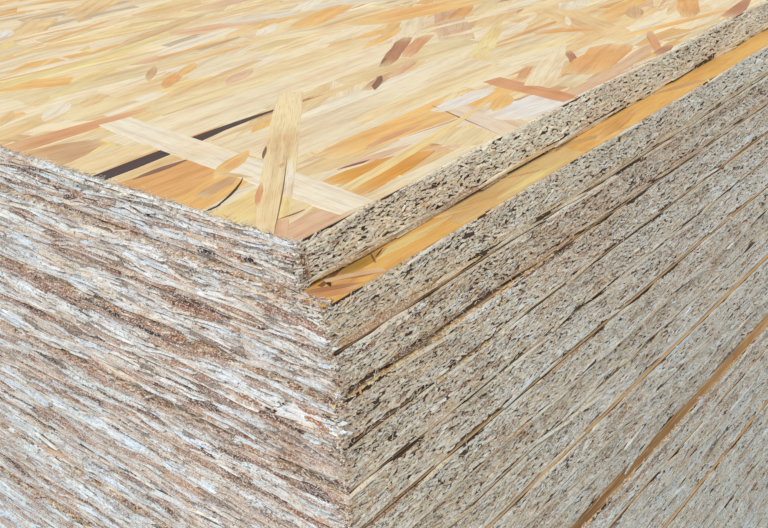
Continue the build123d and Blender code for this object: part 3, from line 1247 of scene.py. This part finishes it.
def edgeOf(number, side):
    # A sheet, the course along its edge, the way out of it, and the sign that keeps axes right-handed
    sheet = sheets[number - 1]
    if side == "front":
        return sheet, sheet["along"], np.cross(sheet["along"], upward), 1
    return sheet, sheet["into"], -sheet["along"], -1


# Values that both edges share. Lengths in mm, tone values from 0, dark, to 1, pale
layerLook = {
    "foot": 0.2,             # height of the lowest layer above the sheet's foot
    "recess": 0.16,          # how far that layer lies back on the sheets that name no other value
    "height": 14.6,          # how much of a sheet's edge the layers take up
    "upper": 4,              # from this sheet down the strands get larger and cooler in tone:
    "coarser": 0.022,        # larger by so much from one sheet to the next,
    "cooling": 18,           # cooler over so many sheets,
    "lowTone": (-0.20, -0.08, 0.03),    # in the end by so much in red, green and blue
    "skinBelow": 0.6,        # height of the smooth bands there, as a share of those above
    "calm": 3.5,             # the waves fade over so much toward the two faces
    "thinOut": 36,           # the strands thin out over so much at the ends of their stretch
    "nearCorner": 200,       # over so much the strands get denser and take on their far tone
    "sheetSpread": 0.05,     # how much the tone value differs from sheet to sheet,
    "layerSpread": 0.11,     # from layer to layer
    "strandSpread": 0.13,    # and from strand to strand
    "markSpread": 0.05,
    "usual": 0.60,           # tone value of a common strand
    "middle": 0.62,          # what is above it gets lighter with more contrast, the rest darker
    "oddDrop": 0.42,         # how much darker the odd strands are
    "swing": (0.06, 31),     # how much the value swings along a layer, and how slowly
    "marks": {"pale": 0.97, "brown": 0.20, "tan": 0.32},
}


def edgeRows(number, side, rng):
    # Strands of one edge: middle along it, middle height, length, thickness, how far it stands out,
    # heights of its wave, tone value, shape, turn, and whether it is in a smooth band
    look = edgeLook[side]
    begin, finish = visibleSpan(number, side)
    coarse = 1 + layerLook["coarser"] * max(0, number - layerLook["upper"])
    layers = round(layerLook["height"] / (look["room"] * coarse))
    room = layerLook["height"] / layers
    phases = rng.uniform(0, 6.28, 6)
    torn = [place[2:] for place in tornPlaces if place[:2] == (number, side)]
    mood = rng.normal(0, layerLook["sheetSpread"]) + look["mood"].get(number, 0)
    foot, head = look["skinHeight"]
    if number >= layerLook["upper"]:
        foot, head = foot * layerLook["skinBelow"], head * layerLook["skinBelow"]
    swingHeight, swingLength = layerLook["swing"]
    rows = []
    for layer in range(layers):
        middle = layerLook["foot"] + (layer + 0.5) * room
        skin = middle < foot or middle > boardSize[2] - head
        tone = mood + rng.normal(0, layerLook["layerSpread"])
        swing = rng.uniform(0, 6.28, 2)
        calm = min(1.0, middle / layerLook["calm"], (boardSize[2] - middle) / layerLook["calm"])
        u = begin - rng.uniform(0.2, 4.0) if begin > 0 else rng.uniform(-0.5, 0.9)
        while u < finish:
            low, high = look["skin"] if skin else look["core"]
            length = rng.uniform(low, high)
            length *= 1.0 if skin else coarse * (0.8 + 0.5 * min(1, max(u, 0) / 250))
            gap = [(a, b) for a, b, top in torn if middle < top + 0.45 and u < b and u + length > a]
            if gap and gap[0][0] - u > 1.5:
                length = gap[0][0] - u
            elif gap:
                u = gap[0][1] + rng.uniform(0, 0.6)
                continue
            centre = u + length / 2
            close = min(1, max(0, u) / layerLook["nearCorner"])
            thick = rng.uniform(1.1, 1.45) if skin else rng.uniform(*look["thickness"]) + 0.2 * close
            inside = min(finish - centre, centre - begin if begin > 0 else 99)
            if rng.random() > inside / layerLook["thinOut"]:
                u += length
                continue
            mark = markAt(side, centre, boardSize[2] * number - middle)
            if mark == "pit" and length > 6:
                length *= 0.5
            if mark != "pit" and rng.random() > look["missing"] * (0.2 if skin else 1):
                drift = math.sin(centre / 26 + middle * 0.5 + phases[2])
                drift *= math.sin(middle * 0.86 + centre / 70 + phases[3])
                value = layerLook["usual"] + tone + look["bands"] * drift
                value += swingHeight * math.sin(centre / swingLength + swing[0])
                darker = look["darkFoot"].get(number, 0) if skin and middle < 5 else 0
                value += rng.normal(0, layerLook["strandSpread"]) - darker
                beside = (value - layerLook["middle"]) * (1 + look["sharp"] * (1 - close))
                value = layerLook["middle"] + beside
                if rng.random() < look["odd"]:
                    value -= layerLook["oddDrop"]
                if mark:
                    value = layerLook["marks"][mark] + rng.normal(0, layerLook["markSpread"])
                proud = rng.uniform(*look["proud"])
                if skin:
                    proud = 0.22 + 0.4 * proud
                if layer == 0:
                    proud -= look["recess"].get(number, layerLook["recess"])
                ends = calm * warp(np.array((u, centre, u + length)), middle, look["wave"], phases)
                shape = "ribbon" if skin else str(rng.choice(look["shapes"]))
                turn = 0.0 if skin else math.radians(rng.normal(0, look["twist"])) * min(1, 9 / length)
                rows.append((centre, middle, length, room * thick, proud, ends, value, shape, turn, skin))
            u += length * rng.uniform(0.88 - 0.07 * close, 1.0 - 0.05 * close)
    return rows


def toneShift(look, number, skin, centre, rng):
    # Warmer smooth bands, a little colour of its own for each strand, cooler far off and lower down
    hue = rng.normal(0, look["hue"], len(skin))
    low = min(1, max(0, (number - layerLook["upper"]) / layerLook["cooling"]))
    own = np.stack([1 + hue, np.ones(len(skin)), 1 - 1.4 * hue], -1)
    fresh = np.array(look["fresh"].get(number, look["usual"]))
    own = own * np.where(skin[:, None], look["skinTone"], (1, 1, 1)) * fresh
    far = np.array(look["topFar" if number == 1 else "far"])
    own = own * (1 + np.clip(centre[:, None] / layerLook["nearCorner"], 0, 1) * (far - 1))
    return own * (1 + np.array(layerLook["lowTone"]) * low)


def cutEdge(number, side):
    look = edgeLook[side]
    rng = np.random.default_rng(1000 * (side == "end") + number)
    sheet, course, outward, sign = edgeOf(number, side)
    rows = edgeRows(number, side, rng)
    depth = 1.0    # of each strand, into the sheet
    batches = []
    for shape in sorted({row[7] for row in rows}):
        own = [row for row in rows if row[7] == shape]
        centre, middle, length, thick, proud = (np.array([row[k] for row in own]) for k in range(5))
        ends, value, turn, skin = (np.array([row[k] for row in own]) for k in (5, 6, 8, 9))
        overlap = np.where(skin & (middle > 7), 0.38, 0.0)    # no gaps in the band under the rim
        slope = (ends[:, 2] - ends[:, 0]) / length + np.tan(turn)
        base = (ends[:, 0] + ends[:, 2]) / 2
        run = (course + upward * slope[:, None]) * sign
        run = unitRows(run + outward * rng.normal(0, 0.05, (len(own), 1)))
        rise = unitRows(np.cross(outward, run))
        place = sheet["corner"] + course * (centre + length * overlap / 2)[:, None] * mm
        place += outward * (proud - depth / 2)[:, None] * mm
        place[:, 2] += (middle + base) * mm
        bow = ends[:, 1] - base
        sway = rng.normal(0, look["wave"][0] * 0.35, len(own)) * np.minimum(1, length / 12)
        bend = np.stack([bow, rng.normal(0, 0.03, len(own)), sway], -1) * mm
        sizes = np.stack([length * (1 + overlap), thick, np.full(len(own), depth)], -1)
        tints = shadeOf(look["stops"], value, rng) * toneShift(look, number, skin, centre, rng)
        batches.append(newBatch(shape, place, run, rise, sizes, tints, bend=bend, uneven=0.07))
    batches.append(whiskerBatch(number, side, rng))
    joinCopies(f"cut_{side}_{number:02d}", batches, sawnFront if side == "front" else sawnEnd, 100 + number)


whiskerLook = {
    "spacing": {"front": 5.6, "end": 4.4},    # mm² of edge for each whisker, by the corner
    "turn": {"front": 0.75, "end": 0.4},      # out of the layers, radians
    "length": (0.7, 2.6),
    "width": (0.10, 0.22),
    "proud": (0.30, 0.55),
    "lower": (0.05, 0.03),      # how much fewer and larger they get from one sheet to the next
    "colour": (236, 229, 210),
}


def whiskerBatch(number, side, rng):
    # Fibres that the saw left standing
    sheet, course, outward, sign = edgeOf(number, side)
    begin, finish = visibleSpan(number, side)
    fewer, larger = (1 + growth * number for growth in whiskerLook["lower"])
    count = int((finish - begin) * boardSize[2] / whiskerLook["spacing"][side] / fewer)
    u = begin + (finish - begin) * rng.random(count) ** 1.4
    high = rng.uniform(0.3, layerLook["height"], count)
    angle = rng.normal(0, whiskerLook["turn"][side], count)
    run = turned(course, upward, angle)
    run = unitRows(run * sign + outward * rng.uniform(-0.15, 0.45, (count, 1)))
    rise = unitRows(np.cross(outward, run))
    length = rng.uniform(*whiskerLook["length"], count) * larger
    width = rng.uniform(*whiskerLook["width"], count) * larger
    proud = rng.uniform(*whiskerLook["proud"], (count, 1))
    place = sheet["corner"] + course * u[:, None] * mm + outward * proud * mm
    place[:, 2] += high * mm
    tints = linear(whiskerLook["colour"]) * rng.uniform(0.62, 1.05, (count, 1))
    return newBatch("whisker", place, run, rise, np.stack([length, width, width * 0.8], -1), tints)


def randomSizes(rng, count, *ranges):
    # Length, width and height for each of many bits, in mm
    return np.stack([rng.uniform(low, high, count) for low, high in ranges], -1)


def looseBatch(shape, place, run, normal, sizes, tints, rng):
    # Loose bits that lie on a face with the given normal
    run = unitRows(run)
    across = unitRows(np.cross(normal, run))
    tints = tints * rng.uniform(0.75, 1.05, (len(place), 1))
    return newBatch(shape, place, run, across, sizes, tints, uneven=0.08)


# Ledges with litter: sheet, side, width, from, to, tones. All in mm
ledges = [
    (2, "end", 2.7, 0, 225, ["mist", "chalk", "chalk", "blush", "mist", "tan"]),
    (4, "end", 1.7, 0, 230, ["umber", "mist", "rust", "mist", "chalk", "tan"]),
    (6, "end", 1.0, 0, 240, ["mist", "rust", "tan", "chalk"]),
    (10, "end", 1.5, 0, 260, ["mist", "umber", "tan", "ivory"]),
    (12, "end", 1.7, 60, 280, ["mist", "umber", "tan", "ivory"]),
    (4, "front", 1.1, 0, 115, ["lemon", "gold", "straw", "lemon"]),
    (5, "front", 0.6, 44, 80, ["lemon", "gold", "straw"]),
    (14, "end", 1.2, 100, 300, ["mist", "umber", "tan", "ivory"]),
    (13, "front", 0.45, 80, 420, ["mist", "tan", "straw"]),
]

litterLook = {
    "area": 1.3,    # mm² of ledge for each bit
    "sizes": ((1.2, 6.5), (0.5, 1.3), (0.3, 0.6)),
}

# Ledge of the sheet that stands out under the twelfth one, with long strands bared
bareLedge = {
    "sheet": 13,
    "strands": 90,
    "sizes": ((20, 60), (1.0, 2.2), 0.3),
    "across": (1.5, 4.4),
    "along": (90.0, 420.0),
    "near": (138, 103, 68),
    "far": (212, 172, 120),
}


def litterLedges():
    # Crumbs and broken strands on the ledges
    rng = np.random.default_rng(61)
    batches = []
    for number, side, wide, begin, finish, toneNames in ledges:
        sheet, course, outward, sign = edgeOf(number, side)
        count = int((finish - begin) * wide / litterLook["area"])
        angle = rng.normal(0, 0.4, count)
        run = turned(course, outward, angle)
        run[:, 2] = rng.normal(0, 0.07, count)
        place = sheet["corner"] + course * rng.uniform(begin, finish, (count, 1)) * mm
        place -= outward * rng.uniform(0, wide, (count, 1)) * mm
        place[:, 2] += sheet["height"] + rng.uniform(-0.12, 0.2, count) * mm
        tints = tintsOf(rng.choice(toneNames, count))
        sizes = randomSizes(rng, count, *litterLook["sizes"])
        batches.append(looseBatch("crumb", place, run, upward, sizes, tints, rng))
    joinCopies("ledge_crumbs", batches, sawnEnd, 62)
    sheet = sheets[bareLedge["sheet"] - 1]
    count = bareLedge["strands"]
    angle = rng.normal(0, 0.02, count)
    run = turned(sheet["along"], sheet["into"], angle)
    share = rng.random((count, 1))
    begin, finish = bareLedge["along"]
    place = sheet["corner"] + sheet["along"] * (begin + (finish - begin) * share) * mm
    place += sheet["into"] * rng.uniform(*bareLedge["across"], (count, 1)) * mm
    place[:, 2] += sheet["height"] + rng.uniform(-0.15, 0.05, count) * mm
    tints = linear(bareLedge["near"]) * (1 - share) + linear(bareLedge["far"]) * share
    long, wide, high = bareLedge["sizes"]
    sizes = np.stack([rng.uniform(*long, count), rng.uniform(*wide, count), np.full(count, high)], -1)
    bared = looseBatch("ribbon", place, run, upward, sizes, tints, rng)
    joinCopies("bared_ledge_strands", [bared], pressedStrand, 63)


# Strands that catch the eye on the two edges: side, from and to (along the edge, depth under the top),
# thickness, tone, shape. All in mm
edgeStrands = {
    "whiteLong": ("end", 1, 3.2, 76, 4.4, 0.9, "chalk", "ribbon"),
    "whiteLower": ("end", -0.5, 6.4, 42, 7.8, 0.8, "chalk", "ribbon"),
    "whiteFar": ("end", 70, 2.0, 122, 2.4, 0.8, "ivory", "ribbon"),
    "whiteBent": ("end", 0, 36.2, 44, 37.4, 1.1, "chalk", "ribbon"),
    "whiteBent2": ("end", 22, 24.6, 80, 26.4, 1.0, "chalk", "ribbon"),
    # Dark lenses laid over pits: painted shade of those holes
    "pitShadeMark": ("end", 33.5, 12.2, 41, 12.8, 1.2, "holeShade", "lens"),
    "pitShadeMark2": ("end", 60, 6.8, 64.6, 7.2, 0.9, "holeShade", "lens"),
    "pitShadeMark3": ("end", 76, 47.4, 87.5, 47.0, 1.5, "holeShade", "lens"),
    "barkRun": ("end", 88, 46.8, 120, 46.2, 1.2, "bark", "ribbon"),
    "barkRun2": ("end", 112, 48.4, 150, 47.6, 1.6, "umber", "ribbon"),
    "barkTorn": ("end", 16, 10.6, 21, 10.2, 1.1, "bark", "lens"),
    "rustTorn": ("end", 20, 11.0, 27, 10.8, 1.2, "rust", "lens"),
    "rustLeft": ("end", 88, 8.6, 100, 8.2, 1.3, "rust", "lens"),
    "barkLeft": ("end", 109, 8.6, 115, 6.4, 1.2, "umber", "lens"),
    "barkFar": ("end", 118, 28.2, 128, 27.8, 1.0, "umber", "lens"),
    "rustRun": ("end", 44, 32.8, 80, 33.6, 1.4, "rust", "ribbon"),
    "rustRun2": ("end", 42, 31.2, 66, 32.2, 0.9, "umber", "ribbon"),
    "rustCorner": ("end", 2, 51.4, 15, 50.6, 1.6, "rust", "torn"),
    "rustCorner2": ("end", 4, 54.4, 13, 53.4, 1.5, "clay", "torn"),
    # Painted shade of pits and a slit by the corner
    "pitShadeCorner": ("end", -0.5, 49.8, 6, 49.4, 0.9, "holeShade", "lens"),
    "pitShadeSpot": ("end", 20.6, 52.4, 24.2, 52.4, 1.2, "bark", "lens"),
    "slitShade": ("end", 24, 56.6, 29.4, 56.2, 0.9, "bark", "lens"),
    "rustLens": ("end", 31, 56.4, 42, 55.8, 1.5, "rust", "lens"),
    "rustLow": ("end", 40, 87.4, 50, 86.6, 1.5, "rust", "lens"),
    "rustLow2": ("end", 57, 86.6, 67, 85.6, 1.4, "umber", "lens"),
    "curl": ("front", 1.0, 4.6, 2.4, 11.6, 1.5, "umber", "torn"),
    "curlLip": ("front", 2.5, 4.4, 3.6, 12.2, 0.9, "tan", "torn"),
    "footBand": ("front", 4, 13.4, 40, 13.6, 1.5, "straw", "ribbon"),
    "footBand2": ("front", 36, 13.8, 96, 13.5, 1.4, "mist", "ribbon"),
    "footBand3": ("front", 90, 13.4, 160, 13.7, 1.3, "straw", "ribbon"),
    "seamBand": ("front", 1, 28.6, 46, 28.4, 1.5, "tan", "ribbon"),
    "seamBand2": ("front", 42, 28.2, 70, 28.6, 1.2, "straw", "ribbon"),
}


def layEdgeStrands():
    rng = np.random.default_rng(91)
    for side, material in (("front", sawnFront), ("end", sawnEnd)):
        batches = []
        for own, u0, depth0, u1, depth1, thick, tone, shape in edgeStrands.values():
            if own != side:
                continue
            depth = (depth0 + depth1) / 2
            sheet, course, outward, sign = edgeOf(int(depth / boardSize[2]) + 1, side)
            run = (course * (u1 - u0) + upward * (depth0 - depth1)) * sign
            place = sheet["corner"] + course * (u0 + u1) / 2 * mm + outward * 0.45 * mm
            place[2] = topCorner[2] - depth * mm
            sizes = np.array([(np.linalg.norm(run), thick, 0.5)])
            batch = looseBatch(shape, place[None], run[None], outward, sizes, tintsOf([tone]), rng)
            batch["bend"] = np.array([(rng.normal(0, 0.35), 0.1, rng.normal(0, 0.25))]) * mm
            batches.append(batch)
        joinCopies(f"{side}_edge_strands", batches, material, 92)


# Chips round the upright corner and fibres along the top sheet's short rim
roughCorner = {
    "sheets": 14,
    "chips": 46,             # for each sheet
    "reach": 2.2,            # how far from the upright corner, mm
    "rimWhiskers": 900,      # along the top sheet's short end
    "rimReach": 210.0,
    "tones": ["mist", "ivory", "tan", "chalk", "umber", "chalk"],
    "sizes": ((0.8, 3.4), (0.3, 0.9), (0.3, 0.6)),
    "rimTones": ["chalk", "ivory", "chalk", "mist"],
    "rimSizes": ((0.8, 3.6), (0.12, 0.3), (0.1, 0.2)),
}


def roughenCorner():
    rng = np.random.default_rng(71)
    count = roughCorner["chips"]
    batches = []
    for number in range(1, roughCorner["sheets"] + 1):
        for side in ("front", "end"):
            sheet, course, outward, sign = edgeOf(number, side)
            place = sheet["corner"] + course * rng.exponential(roughCorner["reach"] / 2, (count, 1)) * mm
            place = place + outward * rng.uniform(-0.2, 0.35, (count, 1)) * mm
            place[:, 2] += rng.uniform(0.3, layerLook["height"], count) * mm
            angle = rng.normal(0, 0.9, count)
            run = turned(course, upward, angle)
            run = run + outward * rng.normal(0, 0.25, (count, 1))
            sizes = randomSizes(rng, count, *roughCorner["sizes"])
            tints = tintsOf(rng.choice(roughCorner["tones"], count))
            batches.append(looseBatch("crumb", place, run, outward, sizes, tints, rng))
    joinCopies("corner_chips", batches, sawnEnd, 72)
    count = roughCorner["rimWhiskers"]
    along, into = topSheet["along"], topSheet["into"]
    place = topSheet["corner"] + into * rng.uniform(0.5, roughCorner["rimReach"], (count, 1)) * mm
    place = place + along * (rng.exponential(0.7, (count, 1)) - 0.15) * mm
    place[:, 2] = topCorner[2] - rng.uniform(0.03, 0.12, count) * mm
    angle = rng.normal(0, 0.7, count)
    run = turned(into, along, angle)
    sizes = randomSizes(rng, count, *roughCorner["rimSizes"])
    tints = tintsOf(rng.choice(roughCorner["rimTones"], count))
    rim = looseBatch("whisker", place, run, upward, sizes, tints, rng)
    joinCopies("rim_whiskers", [rim], sawnEnd, 73)


cutSheets = {"front": 24, "end": 14}    # how many sheets get cut strands on each side

litterLedges()
layEdgeStrands()
roughenCorner()
for side, lastSheet in cutSheets.items():
    for number in range(1, lastSheet + 1):
        cutEdge(number, side)
print("sawn edges laid")


# The other sheets keep the frame's shape

for name in sheetNames[1:]:
    nodes[name].data.materials.clear()
    nodes[name].data.materials.append(strandBoard)


# Floor, light and camera

studio = {
    "floorSize": 40.0,
    "floorColour": (232, 229, 223),
    "skyColour": (238, 243, 250),
    "skyStrength": 0.69,
    "backColour": (240, 241, 242),
    "keyFrom": (-0.30, -0.13, 0.38),
    "keyStrength": 1.68,
    "keySoftness": 22.0,    # degrees
}

# From the top sheet's near corner in metres, turns in degrees, lens in mm
camera = {
    "fromCorner": (-0.16566, -0.17441, 0.10907),
    "heading": 41.01,
    "pitch": 26.06,
    "roll": -3.50,
    "lens": 47.106,
}


def makeFloor():
    bpy.ops.object.select_all(action="DESELECT")
    bpy.ops.mesh.primitive_plane_add(size=studio["floorSize"])
    floor = bpy.context.object
    floor.name = "floor"
    material = newMaterial("palePlaster")
    tree = material.node_tree
    cloud = noise(tree, objectPlace(tree), (3, 3, 3))
    pale = linear(studio["floorColour"])
    colour = mixColour(tree, cloud, (*pale, 1), (*(pale * 0.97), 1))
    roughness = spread(tree, cloud, 0, 1, 0.8, 0.9)
    finishShader(material, colour, roughness, cloud, bumpDistance=0.2 * mm, strength=0.2, specular=0.2)
    floor.data.materials.append(material)


def makeLight():
    world = bpy.data.worlds.new("studio")
    bpy.context.scene.world = world
    world.use_nodes = True
    tree = world.node_tree
    sky = tree.nodes["Background"]
    sky.inputs["Color"].default_value = paint(studio["skyColour"])
    sky.inputs["Strength"].default_value = studio["skyStrength"]
    back = tree.nodes.new("ShaderNodeBackground")
    back.inputs["Color"].default_value = paint(studio["backColour"])
    path = tree.nodes.new("ShaderNodeLightPath")
    seen = mathNode(tree, "MAXIMUM", path.outputs["Is Camera Ray"], path.outputs["Is Glossy Ray"])
    seen = mathNode(tree, "MAXIMUM", seen, path.outputs["Is Transmission Ray"])
    mix = tree.nodes.new("ShaderNodeMixShader")
    tree.links.new(seen, mix.inputs[0])
    tree.links.new(sky.outputs[0], mix.inputs[1])
    tree.links.new(back.outputs[0], mix.inputs[2])
    tree.links.new(mix.outputs[0], tree.nodes["World Output"].inputs["Surface"])
    bpy.ops.object.light_add(type="SUN")
    key = bpy.context.object
    key.name = "key"
    key.data.energy = studio["keyStrength"]
    key.data.angle = math.radians(studio["keySoftness"])
    key.rotation_euler = Vector(studio["keyFrom"]).to_track_quat("Z", "Y").to_euler()


def makeCamera():
    bpy.ops.object.camera_add()
    eye = bpy.context.object
    turn = Matrix.Rotation(math.radians(camera["heading"] - 90), 4, "Z")
    tip = Matrix.Rotation(math.radians(90 - camera["pitch"]), 4, "X")
    roll = Matrix.Rotation(math.radians(camera["roll"]), 4, "Z")
    place = Matrix.Translation(Vector(topCorner) + Vector(camera["fromCorner"]))
    eye.matrix_world = place @ turn @ tip @ roll
    eye.data.lens = camera["lens"]
    eye.data.clip_start = 0.01
    eye.data.clip_end = 50
    bpy.context.scene.camera = eye


makeFloor()
makeLight()
makeCamera()
bpy.context.scene.view_settings.view_transform = "Standard"
print("studio set")
